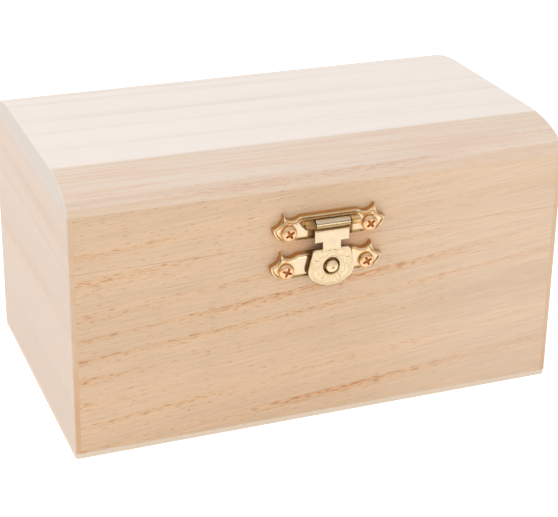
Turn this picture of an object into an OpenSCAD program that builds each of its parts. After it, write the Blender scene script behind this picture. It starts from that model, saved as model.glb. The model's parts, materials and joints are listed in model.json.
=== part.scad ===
// Wooden money box: a rabbeted wooden box with a hinged lid and a stamped hasp.
// Millimetres. Origin: middle of the underside. +Z up, the hasp faces -Y.

/* [Box] */
// Outside width, along X
box_w = 140; // [110:1:200]
// Outside depth, along Y
box_d = 85; // [70:1:140]
// Overall height with the lid shut
box_h = 76; // [66:1:110]
// Height of the saw cut that parts the lid from the box
seam_h = 53; // [44:0.5:60]
// Thickness of the panels
wall_t = 6; // [5:0.5:9]
// Thickness of the board glued on underneath
base_t = 1.5; // [1:0.25:4]
// End grain that the end panels show past the front and back panels
lip_t = 1.5; // [1:0.25:3]

/* [Lid] */
// Thickness of the top board
top_t = 7.6; // [6:0.2:10]
// How far the rounding of the top board reaches in from its front and back edges
round_d = 20.3; // [8:0.1:30]
// Width of the saw cut between the box and the lid
seam_gap = 0.15; // [0.1:0.05:0.6]

/* [Hasp] */
// Sideways place of the plate on the lid
hasp_x = -0.2; // [-20:0.1:20]
// Sideways place of the tongue and the stud
tongue_x = 0; // [-20:0.1:20]
// Sideways place of the keeper on the box
keeper_x = -0.8; // [-20:0.1:20]
// Width of both stamped plates, from point to point
plate_w = 31.8; // [30:0.1:36]
// Height of both stamped plates, without their upper points
plate_h = 6.8; // [6.5:0.1:8]
// Height of the drawn plates above the wood
plate_t = 1.6; // [1.2:0.1:2]
// Width of the tongue at its hinge
tongue_w = 9.8; // [8:0.1:11]
// Radius of the hole in the tongue
tongue_hole_r = 2.3; // [2.2:0.05:2.6]
// Radius of the keeper's stud at its head
stud_r = 1.7; // [1.2:0.05:1.7]
// Radius of the screw heads
screw_head_r = 2.2; // [1.8:0.1:2.4]

/* [Back hinges] */
// Distance between the middles of the two hinges
hinge_spacing = 84; // [50:1:120]
// Width of each hinge
hinge_w = 20; // [16:1:24]
// How far each leaf reaches from the seam
leaf_h = 9.5; // [9:0.5:12]
// Thickness of a leaf
leaf_t = 0.7; // [0.5:0.05:0.9]
// Outer radius of the hinge knuckles
knuckle_r = 1.35; // [1.2:0.05:1.6]
// Radius of the hinge pins
hinge_pin_r = 0.6; // [0.5:0.05:0.7]

/* [Hidden] */
$fn = 48;

PALE_WOOD = "#efe3d6";
TAN_WOOD = "#e2c4a5";
GOLD = "#e8c987";
COPPER = "#d9a066";

// Play all round a pin in its bore
pin_play = 0.05;
// Play between pieces that turn past each other
side_play = 0.2;

// Wood
lid_z = seam_h + seam_gap;
joint_z = box_h - top_t;
base_corner_r = 1;
round_steps = 14;

// Hasp: local frames have Y up from the seam and Z outward from the wood
hasp_plate_y = 1.5;
keeper_plate_y = -9.2;
hasp_axis_y = 6;
barrel_r = 1.2;
hasp_axis_z = plate_t + 0.15 + barrel_r;
hasp_pin_r = 0.5;
ear_w = 2.7;
ear_x = tongue_w / 2 + side_play + ear_w / 2;
ridge_r = 0.6;
ridge_y = hasp_plate_y + plate_h - 0.9;
tongue_t = 0.6;
neck_w = 5.2;
neck_top_y = 0.7;
neck_low_y = -1.2;
stud_y = -6.3;
stud_tail_r = 1.1;
stud_waist_r = 1.2;

// Screws
plate_screw_x = 11.45;
hasp_screw_y = 3.9;
keeper_screw_y = -6.85;
screw_head_h = 1.2;
screw_shank_r = 0.9;
screw_length = 5.5;
hinge_screw_x = 6;
hinge_screw_y = 6;
hinge_screw_head_r = 1.5;
hinge_screw_head_h = 0.6;
hinge_screw_shank_r = 0.7;
hinge_screw_length = 5;
// Play round a shank in its pilot hole
pilot_play = 0.02;
// Play round a shank in the metal
hole_play = 0.15;

// Back hinges: local frames have Y up from the seam and Z outward from the wood
hinge_axis_z = knuckle_r + 0.15;
middle_knuckle_w = 6.4;

// ---- outlines -------------------------------------------------------------------

// Circular arc from p to just before q that bows s to the left of the way from p to q
function bow(p, q, s, n = 8) =
    let (c = norm(q - p) / 2)
    let (r = (c * c + s * s) / (2 * abs(s)))
    let (u = (q - p) / (2 * c))
    let (v = sign(s) * [-u[1], u[0]])
    let (o = (p + q) / 2 - v * (r - abs(s)))
    let (half = asin(c / r))
    [for (i = [0:n - 1]) let (t = half * (2 * i / n - 1)) o + r * (u * sin(t) + v * cos(t))];

// Arc about c from angle a0 to a1
function arc(c, r, a0, a1, n = 10) =
    [for (i = [0:n]) let (a = a0 + (a1 - a0) * i / n) c + r * [cos(a), sin(a)]];

// A right half, listed from top to bottom, closed by its mirror image. A point on the
// middle line isn't repeated.
function both_halves(half) =
    concat(half, [for (i = [len(half) - 1:-1:0]) if (half[i][0] > 0.01) [-half[i][0], half[i][1]]]);

// Stamped plate: an ogee top edge, upright points, scalloped shoulders and side points
module plate_outline() {
    w = plate_w / 2;
    ogee_mid = [w - 7, plate_h - 0.4];
    ogee_low = [w - 5.7, plate_h - 0.8];
    upper_point = [w - 3, plate_h + 0.9];
    side_point = [w, plate_h - 2.8];
    half = concat(
        bow([w - 8.3, plate_h], ogee_mid, 0.12, 4),
        bow(ogee_mid, ogee_low, -0.12, 4),
        [ogee_low],
        bow([w - 5.2, plate_h - 0.8], upper_point, -0.35),
        bow(upper_point, side_point, -0.9, 12),
        bow(side_point, [w - 3.7, 0], 1.1),
        [[w - 3.7, 0]]
    );
    polygon(both_halves(half));
}

// Tongue: a wide top, a narrow neck and a shield with a round bottom
module tongue_outline() {
    bottom_c = [0, -3.5];
    bottom_r = 8.4;
    corner_r = 3.2;
    corner_c = bottom_c + (bottom_r - corner_r) * [cos(-50), sin(-50)];
    half = concat(
        [[tongue_w / 2, hasp_axis_y], [tongue_w / 2, neck_top_y], [neck_w / 2, neck_top_y]],
        [[neck_w / 2, neck_low_y], [4.7, neck_low_y], [5.3, neck_low_y - 0.5]],
        arc(corner_c, corner_r, 8, -46),
        arc(bottom_c, bottom_r, -50, -90)
    );
    polygon(both_halves(half));
}

// Rectangle with round corners, from its lower left corner
module rounded_rect(w, h, r) {
    translate([r, 0])
        square([w - 2 * r, h]);
    translate([0, r])
        square([w, h - 2 * r]);
    for (x = [r, w - r], y = [r, h - r])
        translate([x, y])
            circle(r);
}

// ---- placing --------------------------------------------------------------------

// Local frame on the front face at the seam
module on_front(x) {
    translate([x, -box_d / 2, seam_h])
        rotate([90, 0, 0])
            children();
}

// Local frame on the back face at the seam
module on_back(x) {
    translate([x, box_d / 2, seam_h])
        rotate([90, 0, 180])
            children();
}

// The children at the two screws of a stamped plate
module at_plate_screws(y, z) {
    for (x = [-plate_screw_x, plate_screw_x])
        translate([x, y, z])
            children();
}

// The children at the two screws of a hinge leaf; side is -1 on the box, 1 on the lid
module at_leaf_screws(side, z) {
    for (x = [-hinge_screw_x, hinge_screw_x])
        translate([x, side * hinge_screw_y, z])
            children();
}

// The children at both back hinges
module at_hinges() {
    for (side = [-1, 1])
        on_back(side * hinge_spacing / 2)
            children();
}

// Cylinder along X, centred
module rod(r, length) {
    rotate([0, 90, 0])
        cylinder(r = r, h = length, center = true);
}

// ---- fasteners ------------------------------------------------------------------

// Pan head screw, seated at z = 0 with its head outward and a cross recess in it
module screw(head_r, head_h, shank_r, length) {
    tip_h = 2 * shank_r;
    dome = [for (a = [0:15:90]) [head_r * cos(a), head_h * (0.35 + 0.65 * sin(a))]];
    difference() {
        union() {
            rotate_extrude()
                polygon(concat([[0, 0], [head_r, 0]], dome));
            translate([0, 0, tip_h - length])
                cylinder(r = shank_r, h = length - tip_h);
            translate([0, 0, -length])
                cylinder(r1 = 0.1, r2 = shank_r, h = tip_h);
        }
        for (turn = [0, 90])
            rotate([0, 0, turn + 20])
                translate([0, 0, head_h])
                    cube([1.25 * head_r, 0.3 * head_r, 1.2 * head_h], center = true);
    }
}

// Pilot hole for a screw, from just outside the wood inward
module pilot(shank_r, length) {
    translate([0, 0, -length - pilot_play])
        cylinder(r = shank_r + pilot_play, h = length + 1);
}

module hasp_screw() {
    screw(screw_head_r, screw_head_h, screw_shank_r, screw_length);
}

module hasp_pilot() {
    pilot(screw_shank_r, screw_length);
}

module hinge_screw() {
    screw(hinge_screw_head_r, hinge_screw_head_h, hinge_screw_shank_r, hinge_screw_length);
}

module hinge_pilot() {
    pilot(hinge_screw_shank_r, hinge_screw_length);
}

// ---- wood -----------------------------------------------------------------------

// Panel between the end panels' lips; side is -1 at the front, 1 at the back
module long_panel(side, z0, z1) {
    w = box_w - 2 * lip_t;
    translate([-w / 2, side > 0 ? box_d / 2 - wall_t : -box_d / 2, z0])
        cube([w, wall_t, z1 - z0]);
}

// End panel with a rabbet at each end that takes a long panel; side is -1 left, 1 right
module end_panel(side, z0, z1) {
    h = z1 - z0;
    inner_d = box_d - 2 * wall_t;
    translate([side > 0 ? box_w / 2 - lip_t : -box_w / 2, -box_d / 2, z0])
        cube([lip_t, box_d, h]);
    translate([side > 0 ? box_w / 2 - wall_t : -box_w / 2, -inner_d / 2, z0])
        cube([wall_t, inner_d, h]);
}

module base_board() {
    color(PALE_WOOD)
        translate([-box_w / 2, -box_d / 2, 0])
            linear_extrude(base_t)
                rounded_rect(box_w, box_d, base_corner_r);
}

module box_front_panel() {
    color(TAN_WOOD)
        difference() {
            long_panel(-1, base_t, seam_h);
            on_front(keeper_x)
                at_plate_screws(keeper_screw_y, plate_t)
                    hasp_pilot();
        }
}

module box_back_panel() {
    color(TAN_WOOD)
        difference() {
            long_panel(1, base_t, seam_h);
            at_hinges()
                at_leaf_screws(-1, leaf_t)
                    hinge_pilot();
        }
}

module box_left_end() {
    color(PALE_WOOD)
        end_panel(-1, base_t, seam_h);
}

module box_right_end() {
    color(PALE_WOOD)
        end_panel(1, base_t, seam_h);
}

// Top board: a quarter ellipse rounds its front and its back edge
module lid_top_board() {
    flat_y = box_d / 2 - round_d;
    front = [
        for (i = [0:round_steps])
            let (a = 90 * i / round_steps)
            [flat_y + round_d * cos(a), joint_z + top_t * sin(a)]
    ];
    back = [for (i = [round_steps:-1:0]) [-front[i][0], front[i][1]]];
    color(PALE_WOOD)
        rotate([90, 0, 90])
            linear_extrude(box_w, center = true)
                polygon(concat(front, back));
}

module lid_front_rail() {
    color(TAN_WOOD)
        difference() {
            long_panel(-1, lid_z, joint_z);
            on_front(hasp_x)
                at_plate_screws(hasp_screw_y, plate_t)
                    hasp_pilot();
        }
}

module lid_back_rail() {
    color(TAN_WOOD)
        difference() {
            long_panel(1, lid_z, joint_z);
            at_hinges()
                at_leaf_screws(1, leaf_t)
                    hinge_pilot();
        }
}

module lid_left_end() {
    color(PALE_WOOD)
        end_panel(-1, lid_z, joint_z);
}

module lid_right_end() {
    color(PALE_WOOD)
        end_panel(1, lid_z, joint_z);
}

// ---- hasp and keeper ------------------------------------------------------------

// Plate on the lid, with a raised ridge and two ears that hold the tongue's pin
module hasp_plate() {
    hinge_shift = tongue_x - hasp_x;
    color(GOLD)
        on_front(hasp_x)
            difference() {
                union() {
                    translate([0, hasp_plate_y, 0])
                        linear_extrude(plate_t)
                            plate_outline();
                    translate([0, ridge_y, plate_t])
                        rod(ridge_r, plate_w - 9);
                    for (side = [-1, 1])
                        translate([hinge_shift + side * ear_x, hasp_axis_y, 0]) {
                            translate([0, 0, hasp_axis_z])
                                rod(barrel_r, ear_w);
                            translate([-ear_w / 2, -barrel_r, plate_t / 2])
                                cube([ear_w, 2 * barrel_r, hasp_axis_z - plate_t / 2]);
                        }
                }
                translate([hinge_shift, hasp_axis_y, hasp_axis_z])
                    rod(hasp_pin_r + pin_play, plate_w);
                at_plate_screws(hasp_screw_y, -1)
                    cylinder(r = screw_shank_r + hole_play, h = plate_t + 2);
            }
}

// Tongue with its rolled barrel and the hole that drops over the stud
module hasp_tongue() {
    color(GOLD)
        on_front(tongue_x)
            difference() {
                union() {
                    translate([0, 0, hasp_axis_z - tongue_t / 2])
                        linear_extrude(tongue_t)
                            tongue_outline();
                    translate([0, hasp_axis_y, hasp_axis_z])
                        rod(barrel_r, tongue_w);
                }
                translate([0, hasp_axis_y, hasp_axis_z])
                    rod(hasp_pin_r + pin_play, tongue_w + 2);
                translate([0, stud_y, 0])
                    cylinder(r = tongue_hole_r, h = 2 * hasp_axis_z);
            }
}

module hasp_pin() {
    color(GOLD)
        on_front(tongue_x)
            translate([0, hasp_axis_y, hasp_axis_z])
                rod(hasp_pin_r, 2 * ear_x + ear_w);
}

module hasp_screws() {
    color(COPPER)
        on_front(hasp_x)
            at_plate_screws(hasp_screw_y, plate_t)
                hasp_screw();
}

module keeper_plate() {
    color(GOLD)
        on_front(keeper_x)
            difference() {
                translate([0, keeper_plate_y, 0])
                    linear_extrude(plate_t)
                        plate_outline();
                at_plate_screws(keeper_screw_y, -1)
                    cylinder(r = screw_shank_r + hole_play, h = plate_t + 2);
                translate([tongue_x - keeper_x, stud_y, -1])
                    cylinder(r = stud_tail_r + pilot_play, h = plate_t + 2);
            }
}

// Stud riveted in the keeper: a tail in the plate, a collar, a waist and a domed head
module keeper_stud() {
    collar_z = plate_t + 0.4;
    head_z = hasp_axis_z + tongue_t / 2 + 0.1;
    head_h = 1.1;
    dome = [for (a = [0:15:90]) [stud_r * cos(a), head_z + head_h * (0.3 + 0.7 * sin(a))]];
    color(GOLD)
        on_front(tongue_x)
            translate([0, stud_y, 0])
                rotate_extrude()
                    polygon(concat(
                        [[0, 0], [stud_tail_r, 0], [stud_tail_r, plate_t], [stud_r, plate_t]],
                        [[stud_r, collar_z], [stud_waist_r, collar_z]],
                        [[stud_waist_r, head_z], [stud_r, head_z]],
                        dome
                    ));
}

module keeper_screws() {
    color(COPPER)
        on_front(keeper_x)
            at_plate_screws(keeper_screw_y, plate_t)
                hasp_screw();
}

// ---- back hinges ----------------------------------------------------------------

// One knuckle from x0 to x1, joined to the leaf on its own side of the seam
module knuckle(side, x0, x1) {
    web_h = 2;
    translate([(x0 + x1) / 2, 0, hinge_axis_z])
        rod(knuckle_r, x1 - x0);
    translate([x0, side > 0 ? seam_gap : -web_h, 0])
        cube([x1 - x0, web_h - seam_gap, hinge_axis_z]);
}

// Leaf with its knuckles; side is -1 on the box, 1 on the lid
module hinge_leaf(side, spans) {
    inner_y = knuckle_r + side_play;
    difference() {
        union() {
            translate([-hinge_w / 2, side > 0 ? inner_y : -leaf_h, 0])
                linear_extrude(leaf_t)
                    rounded_rect(hinge_w, leaf_h - inner_y, 0.8);
            for (span = spans)
                knuckle(side, span[0], span[1]);
        }
        translate([0, 0, hinge_axis_z])
            rod(hinge_pin_r + pin_play, hinge_w + 2);
        at_leaf_screws(side, -1)
            cylinder(r = hinge_screw_shank_r + hole_play, h = leaf_t + 2);
    }
}

module box_leaf() {
    inner_x = middle_knuckle_w / 2 + side_play;
    color(GOLD)
        hinge_leaf(-1, [[-hinge_w / 2, -inner_x], [inner_x, hinge_w / 2]]);
}

module lid_leaf() {
    color(GOLD)
        hinge_leaf(1, [[-middle_knuckle_w / 2, middle_knuckle_w / 2]]);
}

module hinge_pin() {
    color(GOLD)
        translate([0, 0, hinge_axis_z])
            rod(hinge_pin_r, hinge_w);
}

module left_hinge_box_leaf() {
    on_back(-hinge_spacing / 2)
        box_leaf();
}

module left_hinge_lid_leaf() {
    on_back(-hinge_spacing / 2)
        lid_leaf();
}

module left_hinge_pin() {
    on_back(-hinge_spacing / 2)
        hinge_pin();
}

module right_hinge_box_leaf() {
    on_back(hinge_spacing / 2)
        box_leaf();
}

module right_hinge_lid_leaf() {
    on_back(hinge_spacing / 2)
        lid_leaf();
}

module right_hinge_pin() {
    on_back(hinge_spacing / 2)
        hinge_pin();
}

module hinge_box_screws() {
    color(GOLD)
        at_hinges()
            at_leaf_screws(-1, leaf_t)
                hinge_screw();
}

module hinge_lid_screws() {
    color(GOLD)
        at_hinges()
            at_leaf_screws(1, leaf_t)
                hinge_screw();
}

base_board();
box_front_panel();
box_back_panel();
box_left_end();
box_right_end();
lid_top_board();
lid_front_rail();
lid_back_rail();
lid_left_end();
lid_right_end();
hasp_plate();
hasp_tongue();
hasp_pin();
hasp_screws();
keeper_plate();
keeper_stud();
keeper_screws();
left_hinge_box_leaf();
left_hinge_lid_leaf();
left_hinge_pin();
right_hinge_box_leaf();
right_hinge_lid_leaf();
right_hinge_pin();
hinge_box_screws();
hinge_lid_screws();
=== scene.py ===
"""Finishes a small wooden money box: eased paulownia boards, a stamped and polished hasp,
copper-toned screws and plated back hinges, on a pale floor in soft light.

Everything is in metres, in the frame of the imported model: +X to the right seen from the
hasp side, the hasp facing -Y, +Z up, the origin in the middle of the underside.
"""

import json
import math

import bmesh
import bpy
import numpy as np
from bpy.props import FloatProperty, FloatVectorProperty, PointerProperty
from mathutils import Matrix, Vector
from mathutils.geometry import delaunay_2d_cdt

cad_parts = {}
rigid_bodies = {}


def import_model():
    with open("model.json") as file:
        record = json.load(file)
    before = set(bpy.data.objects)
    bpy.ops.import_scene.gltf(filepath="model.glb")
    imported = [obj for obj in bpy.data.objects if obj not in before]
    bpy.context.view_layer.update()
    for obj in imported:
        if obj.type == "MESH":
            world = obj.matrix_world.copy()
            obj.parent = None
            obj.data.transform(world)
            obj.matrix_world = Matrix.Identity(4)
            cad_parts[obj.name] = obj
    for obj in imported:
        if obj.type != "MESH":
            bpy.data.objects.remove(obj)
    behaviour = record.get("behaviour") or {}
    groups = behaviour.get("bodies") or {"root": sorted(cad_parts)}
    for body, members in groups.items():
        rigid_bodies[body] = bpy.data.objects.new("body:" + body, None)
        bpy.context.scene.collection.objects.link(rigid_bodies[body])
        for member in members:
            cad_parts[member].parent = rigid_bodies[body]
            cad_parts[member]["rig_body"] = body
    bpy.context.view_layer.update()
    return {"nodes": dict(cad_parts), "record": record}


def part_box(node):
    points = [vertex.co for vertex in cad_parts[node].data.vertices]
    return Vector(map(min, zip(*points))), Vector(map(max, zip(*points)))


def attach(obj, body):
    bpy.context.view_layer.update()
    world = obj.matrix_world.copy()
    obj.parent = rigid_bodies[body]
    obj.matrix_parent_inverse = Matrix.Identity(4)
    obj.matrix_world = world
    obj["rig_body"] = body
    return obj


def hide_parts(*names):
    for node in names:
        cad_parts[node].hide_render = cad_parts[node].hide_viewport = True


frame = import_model()

bl_info = {
    "name": "Wooden Money Box",
    "version": (1, 0, 0),
    "blender": (4, 5, 0),
    "location": "View3D > Sidebar > Money Box",
    "description": "Boards, hasp, hinges and stage of a wooden money box",
    "category": "Object",
}

MM = 0.001
WHITE = (1.0, 1.0, 1.0)
SHARP_EDGE = math.radians(40)


def linear(code):
    """Linear RGB of an sRGB colour given as a hex code."""
    parts = [int(code[i : i + 2], 16) / 255 for i in (1, 3, 5)]
    return tuple(c / 12.92 if c <= 0.04045 else ((c + 0.055) / 1.055) ** 2.4 for c in parts)


# ---- settings -------------------------------------------------------------------------


def colour(name, description, code):
    """Colour property with an sRGB hex default."""
    return FloatVectorProperty(name=name, description=description, default=linear(code), subtype="COLOR",
                               size=3, min=0, max=1)


def length(name, description, default):
    """Length property, in metres."""
    return FloatProperty(name=name, description=description, default=default, unit="LENGTH",
                         subtype="DISTANCE", min=0, precision=5)


def power(name, description, default, unit="NONE"):
    """Power or brightness property."""
    return FloatProperty(name=name, description=description, default=default, unit=unit, min=0)


class MoneyBoxWood(bpy.types.PropertyGroup):
    """Colours and edges of the boards."""

    # Painted light: the flat of the top board is given a paler colour than its moulded edge, for the light
    # that falls on it from above; the colour of the moulded edge stands in for its shade
    top: colour("Top", "Flat of the top board, bleached by sanding", "#ebe1d9")
    moulded: colour("Moulded edge", "Rounded edge of the top board", "#e0cebe")
    front: colour("Front", "Front and back panels and rails", "#ccaf91")
    # Painted sheen: the paler colour toward the right of the front and back boards
    front_sheen: colour("Sapwood", "Paler side of the front and back boards", "#cfb59b")
    end: colour("Ends", "End panels", "#cdb9a8")
    base: colour("Base", "Board under the box", "#d4c3b0")
    top_end: colour("Top ends", "Cut ends of the top board", "#c8bdb2")
    soaked: colour("End grain", "Cut ends of the end panels near the floor", "#c79b75")
    pore: colour("Pores", "Short open pores", "#a8703f")
    late: colour("Rich wood", "Warm bands where pores gather", "#d59f6e")
    mineral: colour("Mineral lines", "Thin grey lines", "#b9a89c")
    ease: length("Eased edge", "Rounding sanded on the outer edges", 0.4 * MM)
    joint: length("Joint edge", "Rounding left on edges inside joints", 0.04 * MM)
    # The moulded strip is how far the painted shade of the moulded edge reaches in
    rounding: length("Moulded strip", "How far the colour of the moulded edge reaches in", 16.6 * MM)
    pore_length: length("Pore length", "Length of a pore along the grain", 2.4 * MM)
    pore_width: length("Pore width", "Width of a pore, drawn broad enough to show", 0.25 * MM)


class MoneyBoxMetal(bpy.types.PropertyGroup):
    """Colours and thicknesses of the hardware."""

    gold: colour("Hasp", "Bright pale gold plating", "#d6c3a4")
    # Painted light: the stud is given a paler gold than the plates so that it shows as brightly lit
    stud: colour("Stud", "Pale gold of the stud, rubbed soft by the tongue", "#f0ddb8")
    # The recess colour is lacquer in the recesses and also the painted shade under and beside parts
    recess: colour("Recesses", "Lacquer and polish left in the hollows", "#6b4220")
    copper: colour("Screws", "Copper-toned plating", "#eec599")
    # Painted shade: the cross recess is coloured darker than the head
    cross: colour("Cross recess", "Dull metal in the cross recess", "#c8894e")
    hinge: colour("Hinges", "Plated hinge leaves", "#d9bf94")
    # The warm gold is also the painted reflection of the wood on the rims of the plates
    warm: colour("Warm gold", "Deeper gold on rims and in soft hollows", "#cfa467")
    # The olive gold is also the painted shade on the tongue
    olive: colour("Olive gold", "Thin, greenish lacquer between the scrolls", "#bda269")
    sheet: length("Plate height", "Height of the drawn plates inside their beads", 1.6 * MM)
    bead: length("Bead", "Height of the bead round the stamped plates", 0.3 * MM)
    relief: length("Relief", "Height of the scrolls on the tongue", 0.13 * MM)


class MoneyBoxStage(bpy.types.PropertyGroup):
    """Camera, light and floor."""

    floor: colour("Floor", "Plain pale floor", "#fbfafa")
    room: colour("Room", "Dim, warm room that the metal mirrors", "#5e452e")
    focal: FloatProperty(name="Focal length", description="Of the camera, in mm", default=102.865, min=20)
    daylight: power("Surround", "Brightness of the white surround", 0.86)
    key: power("Key light", "Power of the overhead light", 2.6, unit="POWER")
    fill: power("Low fill", "Power of the low light in front", 0.2, unit="POWER")
    glow: power("Table glow", "Brightness of the backlit table", 0.5)


# ---- shapes ---------------------------------------------------------------------------


def bow(p, q, rise, steps=8):
    """Circular arc from p to just before q that bows by rise to the left of the way from p to q.
    The radius is (c^2 + rise^2) / (2 rise), where c is half the chord."""
    p, q = np.array(p, float), np.array(q, float)
    half_chord = np.linalg.norm(q - p) / 2
    radius = (half_chord**2 + rise**2) / (2 * abs(rise))
    along = (q - p) / (2 * half_chord)
    out = np.sign(rise) * np.array([-along[1], along[0]])
    centre = (p + q) / 2 - out * (radius - abs(rise))
    t = math.asin(half_chord / radius) * (2 * np.arange(steps) / steps - 1)
    return centre + radius * (np.outer(np.sin(t), along) + np.outer(np.cos(t), out))


def arc(centre, radius, start, stop, steps=10):
    """Points centre + radius (cos a, sin a), with a from start to stop in degrees."""
    a = np.radians(np.linspace(start, stop, steps + 1))
    return np.array(centre, float) + radius * np.stack([np.cos(a), np.sin(a)], 1)


def both_halves(*parts):
    """A right half, listed clockwise from top to bottom, closed by its mirror image."""
    half = np.vstack([np.atleast_2d(p) for p in parts])
    mirrored = half[::-1][half[::-1, 0] > 0.01] * [-1, 1]
    return np.vstack([half, mirrored])


def resampled(outline, spacing):
    """The closed outline with points added so that no step is longer than spacing."""
    rows = []
    for p, q in zip(outline, np.roll(outline, -1, 0)):
        count = max(1, math.ceil(np.linalg.norm(q - p) / spacing))
        rows.append(p + np.outer(np.arange(count) / count, q - p))
    return np.vstack(rows)


def distance_to_line(points, line, closed=False):
    """Distance of each point to a line of straight steps: the least over the steps of the distance
    to the nearest point between the step's ends."""
    starts = line if closed else line[:-1]
    ends = np.roll(line, -1, 0) if closed else line[1:]
    best = np.full(len(points), np.inf)
    for a, b in zip(starts, ends):
        d = b - a
        t = np.clip((points - a) @ d / max(d @ d, 1e-12), 0, 1)
        best = np.minimum(best, np.linalg.norm(points - a - np.outer(t, d), axis=1))
    return best


def inside(points, outline):
    """True where a ray to the right crosses the outline an odd number of times."""
    x, y = points[:, 0], points[:, 1]
    odd = np.zeros(len(points), bool)
    for (x0, y0), (x1, y1) in zip(outline, np.roll(outline, -1, 0)):
        if y0 != y1:
            odd ^= ((y0 > y) != (y1 > y)) & (x < (x1 - x0) * (y - y0) / (y1 - y0) + x0)
    return odd


def smoothstep(low, high, value):
    """0 below low, 1 above high, 3t^2 - 2t^3 between."""
    t = np.clip((value - low) / (high - low), 0, 1)
    return t * t * (3 - 2 * t)


def bump(value, middle, reach):
    """Bell curve, 1 at the middle and 1/e at the reach to either side."""
    return np.exp(-(((value - middle) / reach) ** 2))


def make_object(name, corners, faces, sharp_angle=35.0):
    """Mesh object from corners in metres and faces, smooth but for edges sharper than the angle."""
    mesh = bpy.data.meshes.new(name)
    mesh.from_pydata(np.asarray(corners, float).tolist(), [], [list(f) for f in faces])
    mesh.validate()
    mesh.shade_smooth()
    mesh.set_sharp_from_angle(angle=math.radians(sharp_angle))
    made = bpy.data.objects.new(name, mesh)
    bpy.context.scene.collection.objects.link(made)
    return made


def stamped_sheet(outline, holes, spacing, height, back):
    """Sheet cut to an outline, with round holes (x, y, radius), all in millimetres. Its front is
    z = height(x, y, d), where d is the distance to the nearest edge, and its back is z = back.
    Rows of points follow the edges, so beads and rounded edges keep their shape.
    Returns corners, faces and each corner's d."""
    outline = resampled(outline, spacing)
    step = np.roll(outline, -1, 0) - np.roll(outline, 1, 0)
    inward = np.stack([step[:, 1], -step[:, 0]], 1) / np.linalg.norm(step, axis=1)[:, None]
    rims = [outline]
    for x, y, radius in holes:
        rims.append(arc((x, y), radius, 0, 360, max(24, int(2 * math.pi * radius / spacing)))[:-1])

    def depth(points):
        found = distance_to_line(points, outline, closed=True)
        for x, y, radius in holes:
            found = np.minimum(found, np.hypot(points[:, 0] - x, points[:, 1] - y) - radius)
        return found

    low, high = outline.min(0), outline.max(0)
    rows = np.arange(low[1], high[1], spacing * 0.87)
    columns = np.arange(low[0], high[0], spacing)
    grid = np.array([(x + (i % 2) * spacing / 2, y) for i, y in enumerate(rows) for x in columns])
    insets = [0.06, 0.14, 0.24, 0.36, 0.5, 0.66, 0.84, 1.04]
    bands = [outline + inward * inset for inset in insets]
    for x, y, radius in holes:
        for inset in insets:
            bands.append(arc((x, y), radius + inset, 0, 360, 36)[:-1])
    kept = []
    for i, band in enumerate(bands):
        kept.append(band[inside(band, outline) & (depth(band) > insets[i % len(insets)] * 0.93)])
    kept.append(grid[inside(grid, outline) & (depth(grid) > insets[-1] + spacing * 0.5)])

    points = np.vstack(rims + kept)
    edges, first = [], 0
    for rim in rims:
        ids = np.arange(first, first + len(rim))
        edges += list(zip(ids.tolist(), np.roll(ids, -1).tolist()))
        first += len(rim)
    flat, _, faces, origin, _, _ = delaunay_2d_cdt([Vector(p) for p in points], edges, [], 0, 1e-4)
    flat = np.array([v[:] for v in flat])
    place = {old: new for new, olds in enumerate(origin) for old in olds}
    faces = np.array(faces)
    middle = flat[faces].mean(1)
    faces = faces[inside(middle, outline) & (depth(middle) > -0.1 * spacing)]
    a, b, c = (flat[faces[:, i]] for i in range(3))
    turn = (b[:, 0] - a[:, 0]) * (c[:, 1] - a[:, 1]) - (b[:, 1] - a[:, 1]) * (c[:, 0] - a[:, 0])
    faces[turn < 0] = faces[turn < 0][:, ::-1]

    d = np.maximum(depth(flat), 0)
    front = np.column_stack([flat, height(flat[:, 0], flat[:, 1], d)])
    rear = np.column_stack([flat, np.full(len(flat), back)])
    n = len(flat)
    all_faces = faces.tolist() + (faces[:, ::-1] + n).tolist()
    for a, b in edges:
        a, b = place[a], place[b]
        all_faces.append([a, b, b + n, a + n])
    return np.vstack([front, rear]), all_faces, np.concatenate([d, d])


def turned(profile, steps=48):
    """Solid of revolution: each profile point (radius, z) is carried round the z axis,
    (radius cos a, radius sin a, z). Ends on the axis are closed by a fan."""
    profile = np.array(profile, float)
    a = 2 * math.pi * np.arange(steps) / steps
    ring = np.stack([np.cos(a), np.sin(a)], 1)
    corners = np.concatenate([
        np.column_stack([radius * ring, np.full(steps, z)]) for radius, z in profile[1:-1]
    ])
    count = len(profile) - 2
    ids = np.arange(count * steps).reshape(count, steps)
    nxt = np.roll(ids, -1, 1)
    faces = np.stack([ids[:-1], nxt[:-1], nxt[1:], ids[1:]], -1).reshape(-1, 4).tolist()
    corners = np.vstack([corners, [[0, 0, profile[0][1]], [0, 0, profile[-1][1]]]])
    low, top = count * steps, count * steps + 1
    faces += [[low, nxt[0, i], ids[0, i]] for i in range(steps)]
    faces += [[top, ids[-1, i], nxt[-1, i]] for i in range(steps)]
    return corners, faces


def tube(outer, bore, x0, x1, ease, steps=48):
    """Tube along x with eased outer corners: the closed line of its wall, (x, radius), is carried
    round the x axis as (x, radius cos a, radius sin a)."""
    k = np.radians([0, 30, 60, 90])
    left = np.stack([x0 + ease * (1 - np.sin(k)), outer - ease * (1 - np.cos(k))], 1)[::-1]
    right = left[::-1] * [-1, 1] + [x0 + x1, 0]
    wall = np.vstack([[(x0, bore)], left, right, [(x1, bore)]])
    a = 2 * math.pi * np.arange(steps) / steps
    corners = np.concatenate([
        np.column_stack([np.full(steps, x), r * np.cos(a), r * np.sin(a)]) for x, r in wall
    ])
    ids = np.arange(len(wall) * steps).reshape(len(wall), steps)
    nxt, on = np.roll(ids, -1, 1), np.roll(ids, -1, 0)
    return corners, np.stack([ids, on, np.roll(on, -1, 1), nxt], -1).reshape(-1, 4).tolist()


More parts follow.
